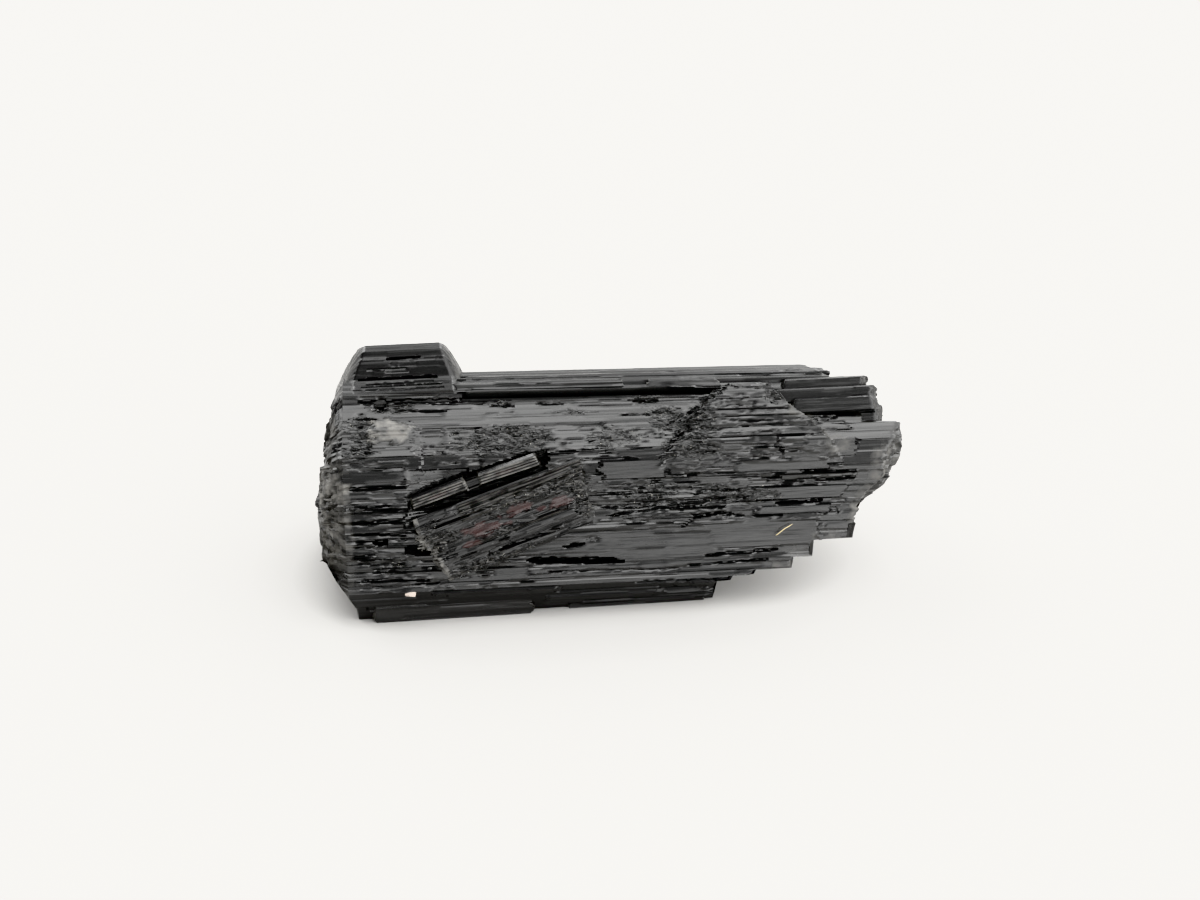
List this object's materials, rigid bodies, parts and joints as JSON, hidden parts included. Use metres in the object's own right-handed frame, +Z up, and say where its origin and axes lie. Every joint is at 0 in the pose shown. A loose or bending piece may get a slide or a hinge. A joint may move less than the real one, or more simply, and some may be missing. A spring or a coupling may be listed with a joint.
{
  "type": "black tourmaline crystal",
  "caption": "Black tourmaline crystal lying on a prism face: a striated columnar prism with parallel rods, a short side prism, stepped broken ends and crystals lodged in its front face.",
  "frame": {"origin": "centre of the crystal's bounding box, at floor height, under its base", "axes": "+X along the crystal's long axis towards its stepped, obliquely broken end, the striated front face with the lodged crystals looks to -Y, +Z up"},
  "size_m": [0.0552, 0.021, 0.0215],
  "materials": {
    "black_tourmaline": "glossy black, striated, vitreous"
  },
  "bodies": {
    "root": {"tourmaline_crystal": "black_tourmaline"}
  },
  "joints": []
}
